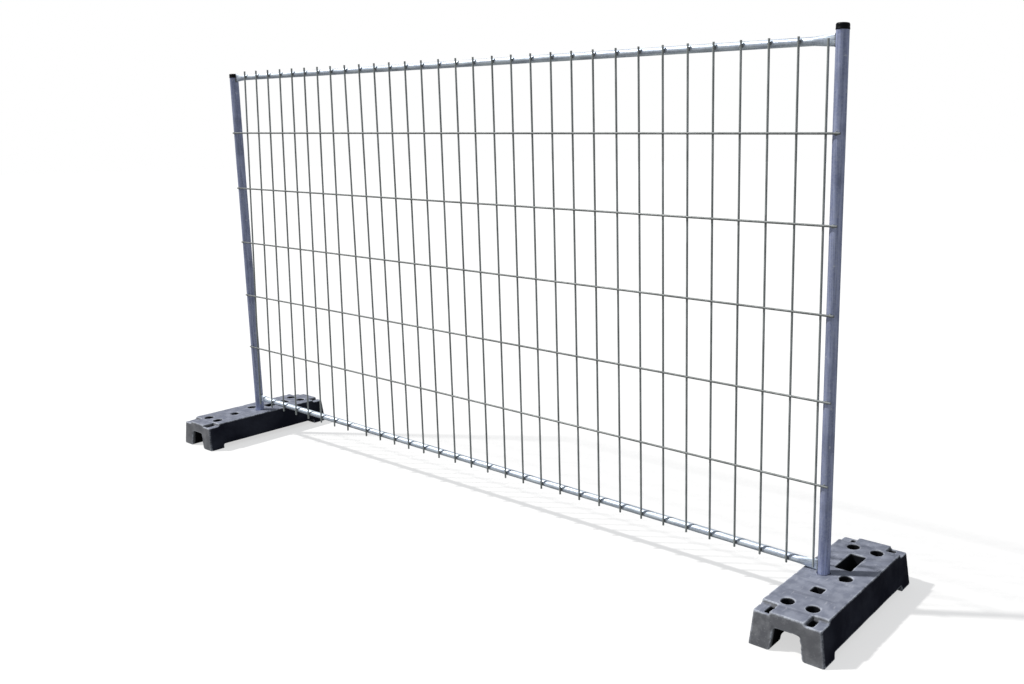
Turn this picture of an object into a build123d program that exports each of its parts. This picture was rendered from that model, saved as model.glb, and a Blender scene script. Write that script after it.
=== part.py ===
"""Temporary fence panel: two tube posts, two rails and a welded wire infill,
standing in two loose recycled-plastic feet. Millimetres, +Z up, floor at Z = 0,
fence line along X, origin on the floor midway between the posts."""
import os
from math import atan2, cos, degrees, pi, radians, sin
from build123d import *

# posts and rails
POST_SPAN = 3458.0       # post axis to post axis
POST_D = 42.0
POST_WALL = 1.5
TOP_RAIL_Z = 1882.0
BOTTOM_RAIL_Z = 153.0
LEFT_POST_ABOVE_RAIL = 18.0
RIGHT_POST_ABOVE_RAIL = 47.0
RAIL_D = 28.0
RAIL_WALL = 1.5
PINCH_LENGTH = 75.0      # each rail end is pressed flat over this length
PINCH_HEIGHT = 40.0
PINCH_THICK = 5.0
PINCH_SIDES = 20
RAIL_PLUG = 6.0          # solid length behind the pressed end
PANEL_TILT = 0.79        # degrees: the left post stands less deep in its socket

# wire infill
WIRE_D = 8.0
WIRE_SIDES = 6
UPRIGHTS = 32
FIRST_FROM_POST = 85.0   # first upright to the left post's axis, at mid height
LAST_FROM_POST = 35.0    # last upright to the right post's axis
UPRIGHT_PAST_RAIL = 30.0
LAST_PAST_RAIL = 6.0     # the last upright ends on the rails
LEANING_UPRIGHTS = 8     # the first ones lean, their feet towards the left post
LEAN_FIRST = 96.0        # foot to head, along X
LEAN_LAST = 34.0
CROSS_WIRES = 5          # they share out the height between the rails
CROSS_RAISED = 5.5       # above an even share
CROSS_PAST_LEFT = 6.0    # cross wires run past the posts' axes
CROSS_PAST_RIGHT = 17.0
WELD_SINK = 0.5          # depth that crossing wires melt into each other

# post caps: a cup pushed over the tube's end
CAP_WALL = 1.5
CAP_TOP = 4.0
CAP_H = 21.0
CAP_ROUND = 5.0

# feet
FOOT_H = 132.0
FOOT_W_BOTTOM = 272.0
FOOT_W_TOP = 238.0
FOOT_L_BOTTOM = 686.0
FOOT_L_TOP = 674.0
FOOT_CORNER_R = 8.0
DECK_L = 562.0           # full-height part of the top
SHELF_DROP = 13.0
TONGUE_W = 124.0
TONGUE_DROP = 3.0
CREASE_W = 5.0
CREASE_DEPTH = 6.0
POCKET_W = 23.0
POCKET_L = 44.0
POCKET_DEPTH = 38.0
POCKET_FROM_DECK = 2.0
PAD_L = 76.0
BELLY_RISE = 21.0
BELLY_R = 6.0
GRIP_W_TOP = 88.0
GRIP_W_BOTTOM = 114.0
GRIP_H = 80.0
GRIP_DEPTH = 150.0
GRIP_R = 14.0
LEG_ROUND = 9.0
SOCKET_CLEARANCE = 2.7   # on the post's diameter
SOCKET_PITCH = 82.0      # the two middle sockets, axis to axis
SOCKET_FLOOR = 36.0
LEFT_FOOT_SHIFT = 0.35   # the turned post meets the wall of its socket
END_SOCKET_U = 45.0
END_SOCKET_V = 246.0
END_SOCKET_DEPTH = 46.0
SQUARE_HOLE = 40.0
SQUARE_HOLE_V = -124.0
SLOT_W = 59.0
SLOT_L = 131.0
SLOT_V = 125.0

CUT_PAST = 5.0           # how far a cutting shape runs past the surface it opens
CONTACT_GAP = 0.01
TINY = 0.001

# places worked out from the sizes: cross wires lie on the posts, uprights behind them,
# and the rails behind the uprights
POST_X = POST_SPAN / 2
POST_R = POST_D / 2
UPRIGHT_PITCH = (POST_SPAN - FIRST_FROM_POST - LAST_FROM_POST) / (UPRIGHTS - 1)
CROSS_PITCH = (TOP_RAIL_Z - BOTTOM_RAIL_Z) / (CROSS_WIRES + 1)
CAP_R = POST_R + CAP_WALL
CROSS_WIRE_Y = -POST_R - WIRE_D / 2
UPRIGHT_Y = CROSS_WIRE_Y + WIRE_D - WELD_SINK
RAIL_Y = UPRIGHT_Y + (WIRE_D + RAIL_D) / 2
SOCKET_D = POST_D + SOCKET_CLEARANCE
LEFT_POST_TOP = TOP_RAIL_Z + LEFT_POST_ABOVE_RAIL
RIGHT_POST_TOP = TOP_RAIL_Z + RIGHT_POST_ABOVE_RAIL


def post(x, top):
    """A tube whose lower edge just meets the socket's floor once the panel is turned."""
    bottom = SOCKET_FLOOR + POST_R * sin(radians(PANEL_TILT)) + CONTACT_GAP
    ring = Circle(POST_R) - Circle(POST_R - POST_WALL)
    return Pos(x, 0, bottom) * extrude(ring, top - bottom)


def cap(x, post_top):
    """A cup turned from its half profile: skirt, rounded shoulder and flat top."""
    top = CAP_TOP
    skirt = CAP_TOP - CAP_H
    bevel = CAP_ROUND * 0.3
    half = Polyline(
        (0, 0), (POST_R, 0), (POST_R, skirt), (CAP_R, skirt),
        (CAP_R, top - CAP_ROUND), (CAP_R - bevel, top - bevel), (CAP_R - CAP_ROUND, top), (0, top),
        close=True,
    )
    return Pos(x, 0, post_top) * revolve(Plane.XZ * make_face(half), Axis.Z)


def oval(x, half_thick, half_height):
    """A tube section part way through being pressed flat, square to the rail."""
    turns = [2 * pi * (i + 0.5) / PINCH_SIDES for i in range(PINCH_SIDES)]
    outline = [(half_thick * cos(a), half_height * sin(a)) for a in turns]
    return Plane.YZ.offset(x) * make_face(Polyline(*outline, close=True))


def rail(z):
    """A tube whose ends are pressed flat and fit round the posts."""
    pinch_start = POST_X - POST_R - PINCH_LENGTH
    hollow = pinch_start - RAIL_PLUG
    tube = extrude(Plane.YZ * Circle(RAIL_D / 2), pinch_start, both=True)
    tube -= extrude(Plane.YZ * Circle(RAIL_D / 2 - RAIL_WALL), hollow, both=True)
    mid_thick = (RAIL_D + PINCH_THICK) / 4
    mid_height = (RAIL_D + PINCH_HEIGHT) / 4
    sections = [
        oval(pinch_start, RAIL_D / 2, RAIL_D / 2),
        oval(pinch_start + PINCH_LENGTH / 2, mid_thick, mid_height),
        oval(pinch_start + PINCH_LENGTH, PINCH_THICK / 2, PINCH_HEIGHT / 2),
        oval(POST_X - POST_R / 2, PINCH_THICK / 2, PINCH_HEIGHT / 2),
    ]
    pinch = loft(sections, ruled=True)
    return Pos(0, RAIL_Y, z) * (tube + pinch + mirror(pinch, Plane.YZ))


def round_posts(shape):
    """Cuts a rail's ends to the round of the posts and of the caps on them."""
    for x, top in ((-POST_X, LEFT_POST_TOP), (POST_X, RIGHT_POST_TOP)):
        shape -= Pos(x, 0, 0) * extrude(Circle(POST_R), top)
        shape -= Pos(x, 0, top + CAP_TOP - CAP_H) * extrude(Circle(CAP_R), CAP_H)
    return shape


def wire(length):
    section = RegularPolygon(WIRE_D / 2, WIRE_SIDES, major_radius=False)
    return extrude(section, length / 2, both=True)


def lean(number):
    """How far an upright's head stands to the right of its foot."""
    if number >= LEANING_UPRIGHTS:
        return 0.0
    step = (LEAN_FIRST - LEAN_LAST) / max(LEANING_UPRIGHTS - 1, 1)
    return LEAN_FIRST - number * step


def wire_mesh():
    """Uprights and cross wires, welded into one lattice where they cross."""
    rail_gap = TOP_RAIL_Z - BOTTOM_RAIL_Z
    middle = (BOTTOM_RAIL_Z + TOP_RAIL_Z) / 2
    uprights = []
    for i in range(UPRIGHTS):
        past = LAST_PAST_RAIL if i == UPRIGHTS - 1 else UPRIGHT_PAST_RAIL
        height = rail_gap + 2 * past
        tilt = degrees(atan2(lean(i), height))
        place = Pos(FIRST_FROM_POST - POST_X + i * UPRIGHT_PITCH, UPRIGHT_Y, middle)
        uprights.append(place * Rot(0, tilt, 0) * wire(height))
    cross = []
    cross_length = POST_SPAN + CROSS_PAST_LEFT + CROSS_PAST_RIGHT
    cross_x = (CROSS_PAST_RIGHT - CROSS_PAST_LEFT) / 2
    for j in range(CROSS_WIRES):
        z = BOTTOM_RAIL_Z + (j + 1) * CROSS_PITCH + CROSS_RAISED
        cross.append(Pos(cross_x, CROSS_WIRE_Y, z) * Rot(0, 90, 0) * wire(cross_length))
    return cross[0].fuse(*cross[1:], *uprights)


def grip_notch():
    """The hand hold under the near end: a trapezoid tunnel with a rounded roof and mouth."""
    foot_edge = GRIP_W_BOTTOM / 2
    flare = foot_edge + LEG_ROUND * 2
    outline = make_face(Polyline(
        (-flare, 0), (-foot_edge, 0), (-GRIP_W_TOP / 2, GRIP_H), (GRIP_W_TOP / 2, GRIP_H),
        (foot_edge, 0), (flare, 0), (flare, -CUT_PAST), (-flare, -CUT_PAST), close=True,
    ))
    roof = outline.vertices().group_by(Axis.Y)[-1]
    outline = fillet(roof, GRIP_R)
    floor_line = outline.vertices().filter_by_position(Axis.Y, -TINY, TINY)
    mouth = [v for v in floor_line if abs(v.X) < flare - LEG_ROUND]
    outline = fillet(mouth, LEG_ROUND)
    tool = extrude(Plane.XZ * outline, -(GRIP_DEPTH + CUT_PAST))
    return Pos(0, -FOOT_L_BOTTOM / 2 - CUT_PAST, 0) * tool


def far_end_recesses():
    """What is sunk into the top at the far end: the shelves beside the tongue, the tongue's
    own small drop with a crease behind it, and a pocket on each shelf."""
    deck_end = DECK_L / 2
    run = FOOT_L_BOTTOM / 2 + CUT_PAST - deck_end
    middle = deck_end + run / 2
    wide = FOOT_W_BOTTOM + 2 * CUT_PAST
    top = Plane.XY.offset(FOOT_H + CUT_PAST)
    tongue = Pos(0, middle) * Rectangle(TONGUE_W, run)
    shelves = Pos(0, middle) * Rectangle(wide, run) - tongue
    crease = Pos(0, deck_end + CREASE_W / 2) * Rectangle(TONGUE_W, CREASE_W)
    pocket_u = (TONGUE_W + POCKET_W) / 2
    pocket_v = deck_end + POCKET_FROM_DECK + POCKET_L / 2
    pockets = [Pos(u, pocket_v) * Rectangle(POCKET_W, POCKET_L) for u in (-pocket_u, pocket_u)]
    cuts = extrude(top * shelves, -(SHELF_DROP + CUT_PAST))
    cuts += extrude(top * tongue, -(TONGUE_DROP + CUT_PAST))
    cuts += extrude(top * crease, -(CREASE_DEPTH + CUT_PAST))
    for pocket in pockets:
        cuts += extrude(top * pocket, -(SHELF_DROP + POCKET_DEPTH + CUT_PAST))
    return cuts


def belly():
    """The hollow under the middle, which leaves a pad at each end."""
    length = FOOT_L_BOTTOM - 2 * PAD_L
    side_view = Rectangle(length, 2 * BELLY_RISE)
    side_view = fillet(side_view.vertices().group_by(Axis.Y)[-1], BELLY_R)
    return extrude(Plane.YZ * side_view, FOOT_W_BOTTOM / 2 + CUT_PAST, both=True)


def sockets():
    """Two post sockets in the middle and two blind ones near each end."""
    drill = Circle(SOCKET_D / 2)
    cuts = []
    for u in (-SOCKET_PITCH / 2, SOCKET_PITCH / 2):
        cuts.append(Pos(u, 0, SOCKET_FLOOR) * extrude(drill, FOOT_H))
    for u in (-END_SOCKET_U, END_SOCKET_U):
        for v in (-END_SOCKET_V, END_SOCKET_V):
            cuts.append(Pos(u, v, FOOT_H - END_SOCKET_DEPTH) * extrude(drill, FOOT_H))
    return cuts


def through_holes():
    plan = Pos(0, SQUARE_HOLE_V) * Rectangle(SQUARE_HOLE, SQUARE_HOLE)
    plan += Pos(0, SLOT_V) * Rectangle(SLOT_W, SLOT_L)
    return extrude(Pos(0, 0, -CUT_PAST) * plan, FOOT_H + 2 * CUT_PAST)


def foot_body():
    """A moulded block with drafted sides, about its own middle."""
    body = loft([
        RectangleRounded(FOOT_W_BOTTOM, FOOT_L_BOTTOM, FOOT_CORNER_R),
        Pos(0, 0, FOOT_H) * RectangleRounded(FOOT_W_TOP, FOOT_L_TOP, FOOT_CORNER_R),
    ])
    recesses = far_end_recesses()
    notch = grip_notch()
    body -= belly()
    body -= recesses
    body -= mirror(recesses, Plane.XZ)
    body -= notch
    body -= mirror(notch, Plane.XZ)
    for socket in sockets():
        body -= socket
    return body - through_holes()


foot = foot_body()
panel = {
    "left_post": post(-POST_X, LEFT_POST_TOP),
    "right_post": post(POST_X, RIGHT_POST_TOP),
    "left_cap": cap(-POST_X, LEFT_POST_TOP),
    "right_cap": cap(POST_X, RIGHT_POST_TOP),
    "top_rail": round_posts(rail(TOP_RAIL_Z)),
    "bottom_rail": round_posts(rail(BOTTOM_RAIL_Z)),
    "wire_mesh": wire_mesh(),
}

# the panel is turned in its own plane about the right post, where that enters its foot
turn = Pos(POST_X, 0, FOOT_H) * Rot(0, PANEL_TILT, 0) * Pos(-POST_X, 0, -FOOT_H)
nodes = {name: turn * shape for name, shape in panel.items()}
nodes["left_foot"] = Pos(LEFT_FOOT_SHIFT - POST_X - SOCKET_PITCH / 2, 0, 0) * foot
nodes["right_foot"] = Pos(POST_X + SOCKET_PITCH / 2, 0, 0) * foot

os.makedirs("parts", exist_ok=True)
for name, shape in nodes.items():
    export_step(shape, f"parts/{name}.step")
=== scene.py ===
"""Temporary fence panel: galvanised tubes and welded wires, black post caps and scuffed
recycled-plastic feet. Metres, +Z up, fence line along X, floor at Z = 0."""
import math
import random

import bmesh
import bpy
import numpy as np
from mathutils import Matrix, Vector, noise


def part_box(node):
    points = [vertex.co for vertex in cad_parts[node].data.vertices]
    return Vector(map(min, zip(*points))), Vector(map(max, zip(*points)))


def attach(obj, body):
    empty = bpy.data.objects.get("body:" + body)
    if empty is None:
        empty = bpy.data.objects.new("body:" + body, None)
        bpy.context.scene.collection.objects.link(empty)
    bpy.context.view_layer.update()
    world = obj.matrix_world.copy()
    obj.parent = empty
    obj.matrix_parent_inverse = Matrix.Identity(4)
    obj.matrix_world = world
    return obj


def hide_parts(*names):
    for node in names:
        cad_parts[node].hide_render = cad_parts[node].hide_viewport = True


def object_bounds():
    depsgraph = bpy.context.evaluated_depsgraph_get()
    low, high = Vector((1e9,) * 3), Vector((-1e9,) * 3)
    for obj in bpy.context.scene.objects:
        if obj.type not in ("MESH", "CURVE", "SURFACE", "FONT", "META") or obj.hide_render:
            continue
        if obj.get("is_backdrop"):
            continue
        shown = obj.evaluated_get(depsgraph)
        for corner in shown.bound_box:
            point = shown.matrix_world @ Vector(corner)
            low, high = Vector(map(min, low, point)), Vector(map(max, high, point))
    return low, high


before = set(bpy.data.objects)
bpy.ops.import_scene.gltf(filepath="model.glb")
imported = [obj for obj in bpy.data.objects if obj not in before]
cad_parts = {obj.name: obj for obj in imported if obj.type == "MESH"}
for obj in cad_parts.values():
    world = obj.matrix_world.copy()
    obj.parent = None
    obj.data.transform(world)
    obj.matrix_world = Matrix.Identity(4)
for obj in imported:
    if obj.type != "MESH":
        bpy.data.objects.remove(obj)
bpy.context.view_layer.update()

# camera, fitted to the photograph
CAMERA_AT = (3.0396, -2.7029, 1.5790)
CAMERA_LENS = 32.646
CAMERA_SENSOR = 36
CAMERA_SHIFT = (-0.14326, -0.03774)
CAMERA_YAW = math.radians(36.449)
CAMERA_PITCH = math.radians(9.866)
CAMERA_ROLL = math.radians(0.580)

# light and floor
SUN_HEIGHT = math.radians(48)
SUN_ALONG_X = 0.857
SUN_ALONG_Y = 0.515
SUN_STRENGTH = 3.2
SUN_SPREAD = math.radians(3)
SUN_TINT = (1.0, 0.98, 0.95)
SKY_STRENGTH = 0.29
SKY_TINT = (0.90, 0.94, 1.0, 1)
WHITE = (1, 1, 1, 1)
FLOOR_SIZE = 60
FLOOR_DROP = 0.0004
FLOOR_PLAIN = (0.28, 0.28, 0.27, 1)
FLOOR_SEEN = (0.45, 0.45, 0.45, 1)
FLOOR_LIFT = 0.62

# the panel, in its own level frame; it stands turned about the right post's foot
PANEL_TURN = math.radians(0.79)
POST_X = 1.729
POST_R = 0.021
LEFT_POST_TOP = 1.900
RIGHT_POST_TOP = 1.929
TOP_RAIL_Z = 1.882
BOTTOM_RAIL_Z = 0.153
RAIL_R = 0.014
PINCH_LENGTH = 0.075
BLADE_HEIGHT = 0.040
BLADE_THICK = 0.005
FOOT_TOP = 0.132

# wires; the left group leans, most at the end, and the rest stand nearly square in a slight bow;
# places along X are at mid-height, and leans are between FOOT_LEVEL and HEAD_LEVEL
WIRE_R = 0.004
WIRE_SIDES = 12
CROSS_Y = -POST_R - WIRE_R
WELD_SINK = 0.0005
UPRIGHT_Y = CROSS_Y + 2 * WIRE_R - WELD_SINK
RAIL_Y = UPRIGHT_Y + WIRE_R + RAIL_R
FOOT_LEVEL = 0.112
HEAD_LEVEL = 1.912
UPRIGHTS = 32
LEANING = 8
LEAN_FIRST_X = -1.641
LEAN_LAST_X = -0.878
LEAN_FIRST = 0.096
LEAN_LAST = 0.034
SQUARE_FIRST_X = -0.750
SQUARE_LAST_X = 1.694
SQUARE_BOW = 0.011
SQUARE_LEAN = -0.007
UNEVEN_PITCH = 0.002
PAST_RAIL_LEFT = 0.0285
PAST_RAIL_RIGHT = 0.016
LAST_PAST_RAIL = 0.005
CROSS_WIRES = 5
CROSS_RAISED = 0.0055
CROSS_PAST_LEFT = 0.005
CROSS_PAST_RIGHT = 0.016
CUT_BURR = 0.0006
CRISP_ANGLE = 40

# welds
NUGGET = (0.0042, 0.0026, 0.0042)
RAIL_BEAD = (0.0050, 0.0030, 0.0058)
POST_BEAD = (0.0046, 0.0030, 0.0040)
BLADE_BEAD = (0.0040, 0.0034, 0.0032)
BLADE_BEADS = 9
BEAD_SEGMENTS = 8
BEAD_RINGS = 5
BEAD_UNEVEN = (0.82, 1.16)
BEAD_TURN = 0.5
RAIL_BEAD_WANDER = 0.002
RAIL_BEAD_ASIDE = 0.9
POST_BEAD_ASIDE = 0.8
BLADE_BEAD_ASIDE = 0.7
BLADE_BEAD_OUT = 0.001

# caps
CAP_SEGMENTS = 48
CAP_ROUND = 0.0060
CAP_ROUND_STEPS = 4
CAP_WALL = 0.0015
CAP_TOP = 0.004
CAP_HEIGHT = 0.021
CAP_CROWN = 0.0006
CAP_MIDDLE = 0.45
CAP_MIDDLE_DROP = 0.0002
CAP_GAP = 0.0001
CAP_INSIDE = 0.006
CAP_MERGE = 1e-6
LIP_OUT = 0.0005
LIP_HEIGHT = 0.0032
LIP_SLOPE = 0.0008
LIP_EDGE = 0.0004
MOUTH_FLARE = 0.0002
MOUTH_DEPTH = 0.0006

# feet
FOOT_MERGE = 1e-5
FOOT_VOXEL = 0.0031
FOOT_SMOOTHING = 3
FOOT_SOFTNESS = 0.5
FOOT_NICKS = 60
NICK_SIZE = (0.004, 0.013)
NICK_DEPTH = (0.0008, 0.0026)
NICK_BEND = 0.06
NICK_ABOVE = 0.03
WEAR_SPREAD = 3
WEAR_GAIN = 10
FOOT_WARP = 0.0006
WARP_WAVES = 14
WARP_SHIFT = 5
PLASTIC_SHIFT = (3.7, 1.3)
SIDE_EDGE = (0.112, 0.118)
DECK_END = (0.276, 0.280)
SHELF_DROP = 0.013
HOLES_END = (0.331, 0.324)
HOLE_SHADE = (0.0015, 0.0075)

# colours of the foot's plastic
DECK_DARK = (0.212, 0.232, 0.300, 1)
DECK_LIGHT = (0.318, 0.342, 0.420, 1)
DECK_CLOUD = (0.190, 0.206, 0.262, 1)
DECK_FLOW = (0.145, 0.158, 0.205, 1)
DECK_SCUFF = (0.52, 0.54, 0.60, 1)
END_DARK = (0.150, 0.156, 0.176, 1)
END_LIGHT = (0.232, 0.240, 0.262, 1)
END_SPECK = (0.42, 0.43, 0.45, 1)
END_CLOUD = (0.125, 0.130, 0.140, 1)
# the long sides' colours: partly dark plastic, partly painted shade
SIDE_DARK_WITH_PAINTED_SHADE = (0.018, 0.0195, 0.032, 1)
SIDE_LIGHT_WITH_PAINTED_SHADE = (0.042, 0.046, 0.066, 1)
SIDE_MOTTLE_WITH_PAINTED_SHADE = (0.05, 0.055, 0.075, 1)
# darker colour for concave corners and creases
CONCAVE_DARK = (0.025, 0.027, 0.032, 1)
RUBBED_EDGE = (0.56, 0.60, 0.68, 1)
# painted shade for the walls and floors of the holes
HOLE_PAINTED_SHADE = (0.007, 0.008, 0.011, 1)

# colours of the welds and caps
BURNT_DARK = (0.12, 0.13, 0.14, 1)
BURNT_LIGHT = (0.30, 0.32, 0.34, 1)
RUST = (0.16, 0.10, 0.07, 1)
CAP_BLACK = (0.004, 0.0045, 0.006, 1)
CAP_DUST = (0.045, 0.047, 0.052, 1)
CAP_SCRATCH = (0.08, 0.082, 0.09, 1)

# brightness of the zinc, and how much bluer than red the tubes' zinc is
POST_TONE = 0.40
POST_BLUE = 1.70
RAIL_TONE = 0.66
RAIL_BLUE = 1.28
UPRIGHT_TONE = 0.37
CROSS_TONE = 0.23
BRIGHTEST_RUB = 0.75

rng = random.Random(11)
RIDES_ON = "root"

PANEL_PIVOT = Vector((POST_X, 0, FOOT_TOP))
TO_PIVOT = Matrix.Translation(-PANEL_PIVOT)
PANEL_PLACE = Matrix.Translation(PANEL_PIVOT) @ Matrix.Rotation(PANEL_TURN, 4, "Y") @ TO_PIVOT


class Finish:
    """A node material, with short calls for the nodes that the finishes below use."""

    def __init__(self, name, metallic=0.0, specular=0.5):
        self.material = bpy.data.materials.new(name)
        self.material.use_nodes = True
        self.tree = self.material.node_tree
        self.shader = self.tree.nodes["Principled BSDF"]
        self.shader.inputs["Metallic"].default_value = metallic
        self.shader.inputs["Specular IOR Level"].default_value = specular
        self.place = self.tree.nodes.new("ShaderNodeTexCoord").outputs["Object"]

    def feed(self, socket, value):
        if isinstance(value, bpy.types.NodeSocket):
            self.tree.links.new(value, socket)
        else:
            socket.default_value = value

    def noise(self, size, detail=3.0, stretch=(1, 1, 1), shift=(0, 0, 0)):
        """Cloudy noise whose spots are about size across, stretched along the axes."""
        mapping = self.tree.nodes.new("ShaderNodeMapping")
        mapping.inputs["Location"].default_value = shift
        mapping.inputs["Scale"].default_value = [1 / (size * s) for s in stretch]
        self.feed(mapping.inputs["Vector"], self.place)
        node = self.tree.nodes.new("ShaderNodeTexNoise")
        node.inputs["Scale"].default_value = 1.0
        node.inputs["Detail"].default_value = detail
        self.feed(node.inputs["Vector"], mapping.outputs["Vector"])
        return node.outputs["Fac"]

    def cells(self, size):
        """Crystal-like cells, each with its own value from 0 to 1."""
        node = self.tree.nodes.new("ShaderNodeTexVoronoi")
        node.inputs["Scale"].default_value = 1 / size
        self.feed(node.inputs["Vector"], self.place)
        split = self.tree.nodes.new("ShaderNodeSeparateColor")
        self.feed(split.inputs["Color"], node.outputs["Color"])
        return split.outputs["Red"]

    def ramp(self, value, low, high, out_low=0.0, out_high=1.0):
        """A smooth step from out_low to out_high as value goes from low to high."""
        node = self.tree.nodes.new("ShaderNodeMapRange")
        node.interpolation_type = "SMOOTHSTEP"
        self.feed(node.inputs["Value"], value)
        limits = {"From Min": low, "From Max": high, "To Min": out_low, "To Max": out_high}
        for name, number in limits.items():
            node.inputs[name].default_value = number
        return node.outputs["Result"]

    def math(self, operation, a, b=0.0):
        node = self.tree.nodes.new("ShaderNodeMath")
        node.operation = operation
        self.feed(node.inputs[0], a)
        self.feed(node.inputs[1], b)
        return node.outputs["Value"]

    def product(self, a, b):
        return self.math("MULTIPLY", a, b)

    def blend(self, factor, a, b):
        node = self.tree.nodes.new("ShaderNodeMix")
        node.data_type = "RGBA"
        self.feed(node.inputs["Factor"], factor)
        self.feed(node.inputs["A"], a)
        self.feed(node.inputs["B"], b)
        return node.outputs["Result"]

    def attribute(self, name):
        node = self.tree.nodes.new("ShaderNodeAttribute")
        node.attribute_name = name
        return node.outputs["Fac"]

    def parts(self, vector):
        node = self.tree.nodes.new("ShaderNodeSeparateXYZ")
        self.feed(node.inputs["Vector"], vector)
        return node.outputs

    def normal(self):
        return self.tree.nodes.new("ShaderNodeNewGeometry").outputs["Normal"]

    def colour(self, value):
        self.feed(self.shader.inputs["Base Color"], value)

    def roughness(self, value):
        self.feed(self.shader.inputs["Roughness"], value)

    def relief(self, height, depth, strength=1.0):
        node = self.tree.nodes.new("ShaderNodeBump")
        node.inputs["Strength"].default_value = strength
        node.inputs["Distance"].default_value = depth
        self.feed(node.inputs["Height"], height)
        self.feed(self.shader.inputs["Normal"], node.outputs["Normal"])


def tinted(value, green, blue):
    """A cool grey: its green and blue channels are green and blue times the red one."""
    return (value, value * green, value * blue, 1)


def galvanised_tube(name, axis, tone, blue):
    """Hot-dip zinc on drawn tube: streaks along the tube, faint spangle and dull patches."""
    f = Finish(name, metallic=0.60)
    stretch = [1, 1, 1]
    stretch[axis] = 22
    streaks = f.noise(0.007, detail=4, stretch=stretch)
    spangle = f.cells(0.0055)
    clouds = f.noise(0.11, detail=5)
    rubs = f.noise(0.02, detail=6, shift=(3, 1, 7))
    dark_streak = tinted(tone * 0.72, 1.15, blue * 1.08)
    light_streak = tinted(tone * 1.25, 1.12, blue * 0.96)
    bright_rub = tinted(min(tone * 2.6, BRIGHTEST_RUB), 1.04, 1.15)
    colour = f.blend(f.ramp(streaks, 0.36, 0.66), dark_streak, light_streak)
    colour = f.blend(f.ramp(spangle, 0, 1, 0, 0.25), colour, tinted(tone * 1.7, 1.07, 1.25))
    colour = f.blend(f.ramp(clouds, 0.50, 0.68, 0, 0.5), colour, tinted(tone * 0.58, 1.14, blue))
    colour = f.blend(f.ramp(rubs, 0.63, 0.72, 0, 0.6), colour, bright_rub)
    f.colour(colour)
    f.roughness(f.ramp(clouds, 0.35, 0.70, 0.46, 0.58))
    height = f.math("ADD", f.product(spangle, 0.3), streaks)
    f.relief(height, 0.0003, 0.35)
    return f.material


def zinc_wire(name, tone):
    """Drawn galvanised wire, duller than the tubes."""
    f = Finish(name, metallic=0.12)
    runs = f.noise(0.012, detail=3, stretch=(1, 1, 5))
    clouds = f.noise(0.30, detail=3)
    specks = f.noise(0.004, detail=2)
    dark_run = tinted(tone * 0.80, 1.09, 1.09)
    light_run = tinted(tone * 1.20, 1.09, 1.10)
    colour = f.blend(f.ramp(runs, 0.35, 0.65), dark_run, light_run)
    colour = f.blend(f.ramp(clouds, 0.4, 0.65, 0, 0.4), colour, tinted(tone * 0.65, 1.09, 1.09))
    colour = f.blend(f.ramp(specks, 0.62, 0.72, 0, 0.5), colour, tinted(tone * 1.7, 1.06, 1.08))
    f.colour(colour)
    f.roughness(f.ramp(clouds, 0.3, 0.7, 0.40, 0.56))
    f.relief(runs, 0.0002, 0.4)
    return f.material


def weld_zinc():
    """Zinc burnt dull at the welds, with a trace of rust."""
    f = Finish("weld_zinc", metallic=0.15)
    burnt = f.noise(0.004, detail=4)
    rust = f.noise(0.16, detail=3, shift=(5, 0, 2))
    colour = f.blend(f.ramp(burnt, 0.35, 0.65), BURNT_DARK, BURNT_LIGHT)
    colour = f.blend(f.ramp(rust, 0.56, 0.70, 0, 0.5), colour, RUST)
    f.colour(colour)
    f.roughness(f.ramp(burnt, 0.3, 0.7, 0.5, 0.75))
    f.relief(burnt, 0.0006, 0.8)
    return f.material


def cap_plastic():
    """Black polythene, a little chalky on top."""
    f = Finish("cap_plastic", specular=0.16)
    chalk = f.noise(0.012, detail=5)
    scratch = f.noise(0.003, detail=2, stretch=(1, 1, 6), shift=(1, 4, 0))
    upward = f.ramp(f.parts(f.normal())["Z"], 0.5, 1.0)
    dust = f.product(upward, f.ramp(chalk, 0.40, 0.65, 0.05, 0.45))
    colour = f.blend(dust, CAP_BLACK, CAP_DUST)
    colour = f.blend(f.ramp(scratch, 0.64, 0.72, 0, 0.2), colour, CAP_SCRATCH)
    f.colour(colour)
    f.roughness(f.ramp(chalk, 0.3, 0.7, 0.22, 0.40))
    f.relief(chalk, 0.0004, 0.3)
    return f.material


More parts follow.
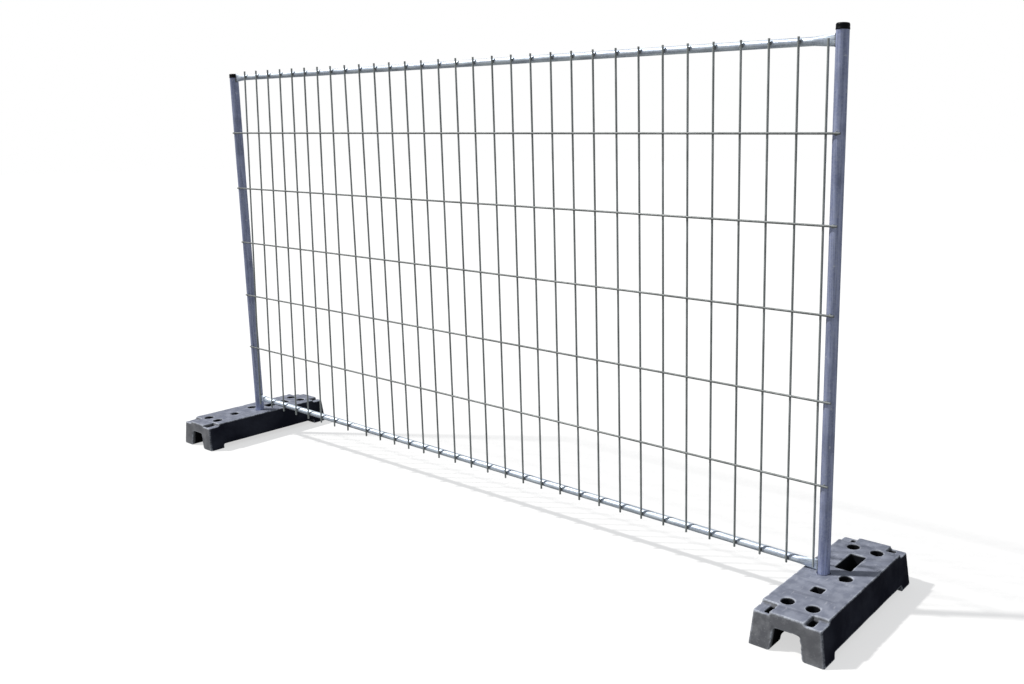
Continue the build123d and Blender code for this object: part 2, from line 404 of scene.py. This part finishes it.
def recycled_plastic(name, middle_x, shift):
    """Dark recycled plastic: walked-on grey-blue top, scuffed ends, long sides nearly black (partly
    darker plastic, partly painted shade), hole walls and floors painted near black as painted shade,
    pale worn edges, darker concave corners and mottled flow marks."""
    f = Finish(name)
    mottle = f.noise(0.035, detail=6, shift=shift)
    fine = f.noise(0.006, detail=5, shift=shift)
    clouds = f.noise(0.14, detail=4, shift=shift)
    scuffs = f.noise(0.010, detail=5, stretch=(1, 5, 1), shift=shift)
    flow = f.noise(0.018, detail=4, stretch=(7, 1, 1), shift=shift)
    pits = f.cells(0.004)
    normal = f.parts(f.normal())
    place = f.parts(f.place)
    across = f.math("ABSOLUTE", f.math("SUBTRACT", place["X"], middle_x))
    along = f.math("ABSOLUTE", place["Y"])
    upward = f.ramp(normal["Z"], 0.35, 0.85)
    # mask of the long sides, which are painted near black: partly darker plastic, partly painted
    # shade
    sideways = f.ramp(f.math("ABSOLUTE", normal["X"]), 0.45, 0.80)
    outside = f.ramp(across, *SIDE_EDGE)
    long_side_plastic_and_painted_shade = f.product(sideways, outside)
    shelf = f.ramp(along, *DECK_END, 0, SHELF_DROP)
    # painted shade: the hole walls and floors go near black with depth below the deck
    depth = f.math("SUBTRACT", f.math("SUBTRACT", FOOT_TOP, place["Z"]), shelf)
    painted_hole_shade = f.product(f.ramp(depth, *HOLE_SHADE), f.ramp(along, *HOLES_END))
    painted_hole_shade = f.product(painted_hole_shade, f.math("SUBTRACT", 1.0, outside))
    # the hole walls that face straight along -X catch the sun and stay lighter
    painted_hole_shade = f.product(painted_hole_shade, f.ramp(normal["X"], -0.98, -0.92, 0.40, 1.0))
    wear = f.attribute("wear")
    concavity = f.attribute("concavity")

    top = f.blend(f.ramp(mottle, 0.34, 0.66), DECK_DARK, DECK_LIGHT)
    top = f.blend(f.ramp(clouds, 0.45, 0.70, 0, 0.5), top, DECK_CLOUD)
    top = f.blend(f.ramp(flow, 0.58, 0.70, 0, 0.5), top, DECK_FLOW)
    top = f.blend(f.ramp(scuffs, 0.62, 0.74, 0, 0.55), top, DECK_SCUFF)
    end = f.blend(f.ramp(mottle, 0.36, 0.66), END_DARK, END_LIGHT)
    end = f.blend(f.ramp(fine, 0.60, 0.72, 0, 0.45), end, END_SPECK)
    end = f.blend(f.ramp(clouds, 0.5, 0.7, 0, 0.4), end, END_CLOUD)
    # colour of the long sides, partly dark plastic and partly painted shade
    side = f.blend(f.ramp(clouds, 0.40, 0.70), SIDE_DARK_WITH_PAINTED_SHADE, SIDE_LIGHT_WITH_PAINTED_SHADE)
    side = f.blend(f.ramp(mottle, 0.62, 0.72, 0, 0.35), side, SIDE_MOTTLE_WITH_PAINTED_SHADE)

    colour = f.blend(upward, end, top)
    # the long sides go near black: partly darker plastic, partly painted shade
    colour = f.blend(long_side_plastic_and_painted_shade, colour, side)
    # darker in the concave corners and creases
    colour = f.blend(f.product(f.ramp(concavity, 0.25, 0.9), 0.75), colour, CONCAVE_DARK)
    rubbed = f.product(f.ramp(wear, 0.15, 0.80), f.ramp(fine, 0.30, 0.60, 0.25, 0.90))
    rubbed = f.product(rubbed, f.ramp(mottle, 0.38, 0.60, 0.35, 1.0))
    colour = f.blend(rubbed, colour, RUBBED_EDGE)
    # painted shade in the holes: their walls and floors near black
    colour = f.blend(f.product(painted_hole_shade, 0.96), colour, HOLE_PAINTED_SHADE)
    f.colour(colour)
    # less specular on the long sides and in the holes, where shade is painted
    dull = f.product(f.math("MAXIMUM", long_side_plastic_and_painted_shade, painted_hole_shade), 0.23)
    f.feed(f.shader.inputs["Specular IOR Level"], f.math("SUBTRACT", 0.26, dull))
    f.roughness(f.ramp(mottle, 0.3, 0.7, 0.52, 0.74))
    height = f.math("ADD", f.product(fine, 0.7), f.product(pits, 0.12))
    height = f.math("ADD", height, f.product(flow, 0.6))
    f.relief(height, 0.0016, 0.45)
    return f.material


def new_object(name, data):
    thing = bpy.data.objects.new(name, data)
    bpy.context.scene.collection.objects.link(thing)
    return thing


def new_piece(name, bm, material):
    """Turns a bmesh in the panel's frame into a finished piece that rides with it."""
    bmesh.ops.recalc_face_normals(bm, faces=bm.faces)
    bmesh.ops.transform(bm, matrix=PANEL_PLACE, verts=bm.verts)
    mesh = bpy.data.meshes.new(name)
    bm.to_mesh(mesh)
    bm.free()
    piece = new_object(name, mesh)
    mesh.materials.append(material)
    mesh.shade_smooth()
    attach(piece, RIDES_ON)
    return piece


def smooth_by_angle(piece, degrees):
    """Keeps edges sharper than the angle crisp."""
    bm = bmesh.new()
    bm.from_mesh(piece.data)
    limit = math.radians(degrees)
    for edge in bm.edges:
        edge.smooth = edge.calc_face_angle(0) < limit
    bm.to_mesh(piece.data)
    bm.free()


def add_bar(bm, start, end, radius):
    """A round bar from start to end, with slightly burred ends."""
    run = end - start
    turn = Vector((0, 0, 1)).rotation_difference(run.normalized()).to_matrix().to_4x4()
    place = Matrix.Translation((start + end) / 2) @ turn
    made = bmesh.ops.create_cone(
        bm, cap_ends=True, segments=WIRE_SIDES, radius1=radius, radius2=radius,
        depth=run.length, matrix=place
    )
    edges = dict.fromkeys(edge for vert in made["verts"] for edge in vert.link_edges)
    rims = [edge for edge in edges if any(len(face.verts) == WIRE_SIDES for face in edge.link_faces)]
    bmesh.ops.bevel(
        bm, geom=rims, offset=CUT_BURR, segments=1, profile=0.5, affect="EDGES", material=-1
    )


def add_bead(bm, centre, size):
    """One small drop of weld metal, a little uneven."""
    uneven = [s * rng.uniform(*BEAD_UNEVEN) for s in size]
    turn = Matrix.Rotation(rng.uniform(-BEAD_TURN, BEAD_TURN), 4, "Y")
    place = Matrix.Translation(centre) @ turn @ Matrix.Diagonal((*uneven, 1))
    bmesh.ops.create_uvsphere(
        bm, u_segments=BEAD_SEGMENTS, v_segments=BEAD_RINGS, radius=1, matrix=place
    )


def between(first, last, share):
    """The value that is share of the way from first to last."""
    return first + (last - first) * share


def upright_line(number):
    """Foot and head of one upright wire, in the panel's own frame."""
    if number < LEANING:
        share = number / (LEANING - 1)
        middle_x = between(LEAN_FIRST_X, LEAN_LAST_X, share)
        lean = between(LEAN_FIRST, LEAN_LAST, share)
    else:
        share = (number - LEANING) / (UPRIGHTS - LEANING - 1)
        bow = SQUARE_BOW * 4 * share * (1 - share)
        middle_x = between(SQUARE_FIRST_X, SQUARE_LAST_X, share) + bow
        lean = SQUARE_LEAN
    if 0 < number < UPRIGHTS - 1:
        middle_x += rng.uniform(-UNEVEN_PITCH, UNEVEN_PITCH)
    past = between(PAST_RAIL_LEFT, PAST_RAIL_RIGHT, number / (UPRIGHTS - 1))
    if number == UPRIGHTS - 1:
        past = LAST_PAST_RAIL
    slope = lean / (HEAD_LEVEL - FOOT_LEVEL)
    middle_z = (FOOT_LEVEL + HEAD_LEVEL) / 2
    ends = []
    for z in (BOTTOM_RAIL_Z - past, TOP_RAIL_Z + past):
        ends.append(Vector((middle_x + slope * (z - middle_z), UPRIGHT_Y, z)))
    return ends


def at_height(line, z):
    """Where an upright's line is at height z."""
    foot, head = line
    return foot.lerp(head, (z - foot.z) / (head.z - foot.z))


uprights = [upright_line(i) for i in range(UPRIGHTS)]
cross_pitch = (TOP_RAIL_Z - BOTTOM_RAIL_Z) / (CROSS_WIRES + 1)
cross_heights = [BOTTOM_RAIL_Z + (j + 1) * cross_pitch + CROSS_RAISED for j in range(CROSS_WIRES)]


def make_uprights(material):
    """All upright wires as one piece, in the place of the fused mesh."""
    bm = bmesh.new()
    for foot, head in uprights:
        add_bar(bm, foot, head, WIRE_R)
    piece = new_piece("upright_wires", bm, material)
    smooth_by_angle(piece, CRISP_ANGLE)
    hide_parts("wire_mesh")


def make_cross_wires(material):
    """The five wires that lie across the fronts of the uprights and posts."""
    bm = bmesh.new()
    left, right = -POST_X - CROSS_PAST_LEFT, POST_X + CROSS_PAST_RIGHT
    for z in cross_heights:
        add_bar(bm, Vector((left, CROSS_Y, z)), Vector((right, CROSS_Y, z)), WIRE_R)
    piece = new_piece("cross_wires", bm, material)
    smooth_by_angle(piece, CRISP_ANGLE)


def make_wire_welds(material):
    """A nugget at every crossing of two wires."""
    bm = bmesh.new()
    y = (UPRIGHT_Y + CROSS_Y) / 2
    for line in uprights:
        for z in cross_heights:
            centre = at_height(line, z)
            centre.y = y
            add_bead(bm, centre, NUGGET)
    new_piece("wire_welds", bm, material)


def make_rail_welds(material):
    """A bead on each side of every upright where it lies on a rail."""
    bm = bmesh.new()
    reach = POST_X - POST_R - PINCH_LENGTH
    for line in uprights:
        for z in (TOP_RAIL_Z, BOTTOM_RAIL_Z):
            centre = at_height(line, z)
            if abs(centre.x) > reach:
                continue
            for side in (-1, 1):
                bead_x = centre.x + side * WIRE_R * RAIL_BEAD_ASIDE
                bead_z = z + rng.uniform(-RAIL_BEAD_WANDER, RAIL_BEAD_WANDER)
                add_bead(bm, Vector((bead_x, RAIL_Y - RAIL_R, bead_z)), RAIL_BEAD)
    new_piece("rail_welds", bm, material)


def make_post_welds(material):
    """Beads where the cross wires lie on the posts, and down both sides of each pressed rail end."""
    bm = bmesh.new()
    for post_x in (-POST_X, POST_X):
        for z in cross_heights:
            for side in (-1, 1):
                bead_z = z + side * WIRE_R * POST_BEAD_ASIDE
                add_bead(bm, Vector((post_x, -POST_R, bead_z)), POST_BEAD)
        inward = -1 if post_x > 0 else 1
        for rail_z in (TOP_RAIL_Z, BOTTOM_RAIL_Z):
            bottom, top = rail_z - BLADE_HEIGHT / 2, rail_z + BLADE_HEIGHT / 2
            if rail_z == TOP_RAIL_Z and post_x < 0:
                top = LEFT_POST_TOP + CAP_TOP - CAP_HEIGHT
            for side in (-1, 1):
                y = RAIL_Y + side * BLADE_THICK * BLADE_BEAD_ASIDE
                x = post_x + inward * (math.sqrt(POST_R ** 2 - y ** 2) + BLADE_BEAD_OUT)
                for k in range(BLADE_BEADS):
                    z = bottom + (k + 0.5) * (top - bottom) / BLADE_BEADS
                    add_bead(bm, Vector((x, y, z)), BLADE_BEAD)
    new_piece("post_welds", bm, material)


def make_cap(node, x, post_top, material):
    """A cup-shaped cap: soft crowned top, rounded shoulder, skirt with a small lip."""
    high = post_top + CAP_TOP
    low = high - CAP_HEIGHT
    outer = POST_R + CAP_WALL
    wall = outer - LIP_OUT
    inner = POST_R + CAP_GAP
    crown = high - CAP_CROWN
    profile = [(0.0, high), (outer * CAP_MIDDLE, high - CAP_MIDDLE_DROP), (wall - CAP_ROUND, crown)]
    for k in range(1, CAP_ROUND_STEPS + 1):
        turn = k / CAP_ROUND_STEPS * math.pi / 2
        shoulder_r = wall - CAP_ROUND * (1 - math.sin(turn))
        profile.append((shoulder_r, crown - CAP_ROUND * (1 - math.cos(turn))))
    lip = low + LIP_HEIGHT
    profile += [(wall, lip + LIP_SLOPE), (outer, lip), (outer, low + LIP_EDGE)]
    profile += [(outer - LIP_EDGE, low), (inner + MOUTH_FLARE, low)]
    profile += [(inner, low + MOUTH_DEPTH), (inner, low + CAP_INSIDE)]
    bm = bmesh.new()
    verts = [bm.verts.new((x + r, 0, z)) for r, z in profile]
    edges = [bm.edges.new(pair) for pair in zip(verts, verts[1:])]
    bmesh.ops.spin(
        bm, geom=verts + edges, cent=(x, 0, high), axis=(0, 0, 1), angle=2 * math.pi,
        steps=CAP_SEGMENTS, use_merge=True
    )
    bmesh.ops.remove_doubles(bm, verts=bm.verts, dist=CAP_MERGE)
    piece = new_piece(node + "_rounded", bm, material)
    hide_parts(node)


def rows(items, name, width, kind=float):
    """One property of all vertices or edges, as the rows of an array."""
    values = np.empty(len(items) * width, kind)
    items.foreach_get(name, values)
    return values.reshape(-1, width)


def convexity(mesh):
    """For each vertex, how far it stands out of its neighbours' middle, over the edge length."""
    co = rows(mesh.vertices, "co", 3)
    normal = rows(mesh.vertices, "normal", 3)
    ends = rows(mesh.edges, "vertices", 2, int)
    degree = np.bincount(ends.ravel(), minlength=len(co))[:, None]

    def neighbours_mean(values):
        total = np.zeros_like(values)
        np.add.at(total, ends[:, 0], values[ends[:, 1]])
        np.add.at(total, ends[:, 1], values[ends[:, 0]])
        return total / degree

    bend = ((co - neighbours_mean(co)) * normal).sum(1, keepdims=True) / FOOT_VOXEL
    for _ in range(WEAR_SPREAD):
        bend = (bend + neighbours_mean(bend)) / 2
    return co, normal, bend[:, 0]


def wear_and_warp(mesh, seed):
    """Marks worn edges and the concave corners that are darkened, then warps the block a little and
    nicks its edges.
    """
    co, normal, bend = convexity(mesh)
    for name, values in (("wear", bend * WEAR_GAIN), ("concavity", -bend * WEAR_GAIN)):
        layer = mesh.attributes.new(name, "FLOAT", "POINT")
        layer.data.foreach_set("value", np.clip(values, 0, 1).astype(np.float32))
    warp = np.array([noise.noise(Vector(p) * WARP_WAVES + Vector((seed, 0, 0))) for p in co])
    co = co - normal * (FOOT_WARP * (1 + warp))[:, None]
    edges = np.flatnonzero((bend > NICK_BEND) & (co[:, 2] > NICK_ABOVE))
    for _ in range(FOOT_NICKS):
        centre = co[edges[rng.randrange(len(edges))]]
        size = rng.uniform(*NICK_SIZE)
        depth = rng.uniform(*NICK_DEPTH)
        gap = np.linalg.norm(co - centre, axis=1)
        near = gap < size
        fall = (1 - (gap[near] / size) ** 2) ** 2
        co[near] -= normal[near] * (depth * fall)[:, None]
    mesh.vertices.foreach_set("co", co.ravel())
    mesh.update()


def make_foot(node, material, seed):
    """The moulded foot with its edges softened, worn and nicked."""
    bm = bmesh.new()
    bm.from_mesh(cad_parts[node].data)
    bmesh.ops.remove_doubles(bm, verts=bm.verts, dist=FOOT_MERGE)
    rough = bpy.data.meshes.new(node + "_rough")
    bm.to_mesh(rough)
    bm.free()
    carrier = new_object(node + "_rough", rough)
    remesh = carrier.modifiers.new("voxels", "REMESH")
    remesh.mode = "VOXEL"
    remesh.voxel_size = FOOT_VOXEL * 1
    soften = carrier.modifiers.new("soften", "SMOOTH")
    soften.factor = FOOT_SOFTNESS
    soften.iterations = FOOT_SMOOTHING
    graph = bpy.context.evaluated_depsgraph_get()
    mesh = bpy.data.meshes.new_from_object(carrier.evaluated_get(graph))
    bpy.data.objects.remove(carrier)
    bpy.data.meshes.remove(rough)
    wear_and_warp(mesh, seed)
    mesh.name = node + "_worn"
    mesh.materials.clear()
    mesh.materials.append(material)
    mesh.shade_smooth()
    piece = new_object(node + "_worn", mesh)
    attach(piece, RIDES_ON)
    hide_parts(node)


def finish_nodes():
    """The tubes stay as they are, with a galvanised finish."""
    post_zinc = galvanised_tube("post_zinc", axis=2, tone=POST_TONE, blue=POST_BLUE)
    rail_zinc = galvanised_tube("rail_zinc", axis=0, tone=RAIL_TONE, blue=RAIL_BLUE)
    for node in ("left_post", "right_post", "top_rail", "bottom_rail"):
        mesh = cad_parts[node].data
        mesh.materials.clear()
        mesh.materials.append(post_zinc if node.endswith("post") else rail_zinc)


def seen_by_camera(tree):
    """1 for rays straight from the camera, 0 for the rays that light the object."""
    return tree.nodes.new("ShaderNodeLightPath").outputs["Is Camera Ray"]


def make_world():
    """A soft pale sky that the camera sees as white."""
    world = bpy.data.worlds.new("studio")
    world.use_nodes = True
    tree = world.node_tree
    sky = tree.nodes["Background"]
    sky.inputs["Color"].default_value = SKY_TINT
    sky.inputs["Strength"].default_value = SKY_STRENGTH
    white = tree.nodes.new("ShaderNodeBackground")
    white.inputs["Color"].default_value = WHITE
    mix = tree.nodes.new("ShaderNodeMixShader")
    tree.links.new(seen_by_camera(tree), mix.inputs["Fac"])
    tree.links.new(sky.outputs["Background"], mix.inputs[1])
    tree.links.new(white.outputs["Background"], mix.inputs[2])
    tree.links.new(mix.outputs["Shader"], tree.nodes["World Output"].inputs["Surface"])
    bpy.context.scene.world = world


def make_floor():
    """A plain pale floor that shows white where it is lit and keeps a soft shadow."""
    bm = bmesh.new()
    bmesh.ops.create_grid(bm, x_segments=1, y_segments=1, size=FLOOR_SIZE)
    mesh = bpy.data.meshes.new("floor")
    bm.to_mesh(mesh)
    bm.free()
    floor = new_object("floor", mesh)
    floor.location.z = -FLOOR_DROP
    material = bpy.data.materials.new("pale_floor")
    material.use_nodes = True
    tree = material.node_tree
    tree.nodes.remove(tree.nodes["Principled BSDF"])
    plain = tree.nodes.new("ShaderNodeBsdfDiffuse")
    plain.inputs["Color"].default_value = FLOOR_PLAIN
    seen = tree.nodes.new("ShaderNodeBsdfDiffuse")
    seen.inputs["Color"].default_value = FLOOR_SEEN
    lift = tree.nodes.new("ShaderNodeEmission")
    lift.inputs["Color"].default_value = WHITE
    lift.inputs["Strength"].default_value = FLOOR_LIFT
    both = tree.nodes.new("ShaderNodeAddShader")
    tree.links.new(seen.outputs["BSDF"], both.inputs[0])
    tree.links.new(lift.outputs["Emission"], both.inputs[1])
    mix = tree.nodes.new("ShaderNodeMixShader")
    tree.links.new(seen_by_camera(tree), mix.inputs["Fac"])
    tree.links.new(plain.outputs["BSDF"], mix.inputs[1])
    tree.links.new(both.outputs["Shader"], mix.inputs[2])
    tree.links.new(mix.outputs["Shader"], tree.nodes["Material Output"].inputs["Surface"])
    mesh.materials.append(material)
    floor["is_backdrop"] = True


def make_sun():
    """Sunlight from high on the left of the photograph."""
    light = bpy.data.lights.new("sun", "SUN")
    light.energy = SUN_STRENGTH
    light.angle = SUN_SPREAD
    light.color = SUN_TINT
    sun = new_object("sun", light)
    flat = math.cos(SUN_HEIGHT)
    travel = Vector((SUN_ALONG_X * flat, SUN_ALONG_Y * flat, -math.sin(SUN_HEIGHT)))
    sun.rotation_mode = "QUATERNION"
    sun.rotation_quaternion = travel.to_track_quat("-Z", "Y")


def make_camera():
    """The photograph's camera."""
    data = bpy.data.cameras.new("camera")
    data.lens = CAMERA_LENS
    data.sensor_width = CAMERA_SENSOR
    data.shift_x, data.shift_y = CAMERA_SHIFT
    camera = new_object("camera", data)
    level = math.cos(CAMERA_PITCH)
    ahead_x, ahead_y = -math.sin(CAMERA_YAW) * level, math.cos(CAMERA_YAW) * level
    ahead = Vector((ahead_x, ahead_y, -math.sin(CAMERA_PITCH)))
    right_level = Vector((math.cos(CAMERA_YAW), math.sin(CAMERA_YAW), 0))
    down_level = ahead.cross(right_level)
    right = right_level * math.cos(CAMERA_ROLL) + down_level * math.sin(CAMERA_ROLL)
    down = down_level * math.cos(CAMERA_ROLL) - right_level * math.sin(CAMERA_ROLL)
    facing = Matrix((right, -down, -ahead)).transposed().to_4x4()
    camera.matrix_world = Matrix.Translation(CAMERA_AT) @ facing
    bpy.context.scene.camera = camera


make_camera()
make_sun()
make_world()
make_floor()
finish_nodes()

upright_finish = zinc_wire("upright_zinc", UPRIGHT_TONE)
cross_finish = zinc_wire("cross_zinc", CROSS_TONE)
weld_finish = weld_zinc()
cap_finish = cap_plastic()
make_uprights(upright_finish)
make_cross_wires(cross_finish)
make_wire_welds(weld_finish)
make_rail_welds(weld_finish)
make_post_welds(weld_finish)
make_cap("left_cap", -POST_X, LEFT_POST_TOP, cap_finish)
make_cap("right_cap", POST_X, RIGHT_POST_TOP, cap_finish)
for seed, node in enumerate(("left_foot", "right_foot")):
    low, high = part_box(node)
    shift = (seed * PLASTIC_SHIFT[0], seed * PLASTIC_SHIFT[1], 0)
    plastic = recycled_plastic(node + "_plastic", (low.x + high.x) / 2, shift)
    make_foot(node, plastic, seed * WARP_SHIFT)

bpy.context.scene.view_settings.view_transform = "Standard"
low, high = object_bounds()
